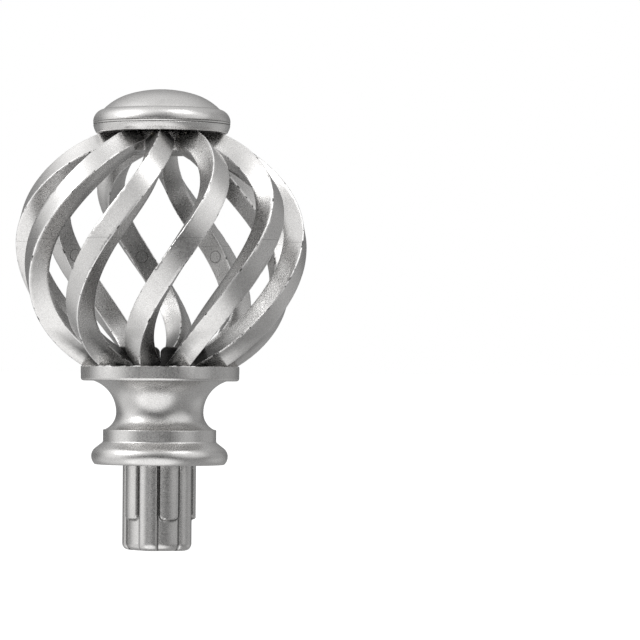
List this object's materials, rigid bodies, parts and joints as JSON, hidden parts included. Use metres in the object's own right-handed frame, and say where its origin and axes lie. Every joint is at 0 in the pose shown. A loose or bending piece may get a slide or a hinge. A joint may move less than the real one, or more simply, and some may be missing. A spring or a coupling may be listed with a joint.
{
  "type": "curtain pole finial",
  "caption": "Push-in finial for a curtain pole: an open ball of twisted square bars on a turned waisted base with a ribbed spigot, topped by a shallow domed cap, all painted metallic silver.",
  "frame": {"origin": "on the pole's axis, in the plane of the shoulder that seats against the pole's end", "axes": "+Z points along the axis out of the pole, towards the cap; -Y is the side seen in the picture; the spigot runs along -Z"},
  "size_m": [0.0874, 0.086, 0.1381],
  "materials": {
    "silver_paint": "satin metallic silver paint with a fine speckle, sprayed over moulded plastic"
  },
  "bodies": {
    "root": {"base": "silver_paint", "cage_lower": "silver_paint", "cage_upper": "silver_paint", "cap": "silver_paint"}
  },
  "joints": []
}
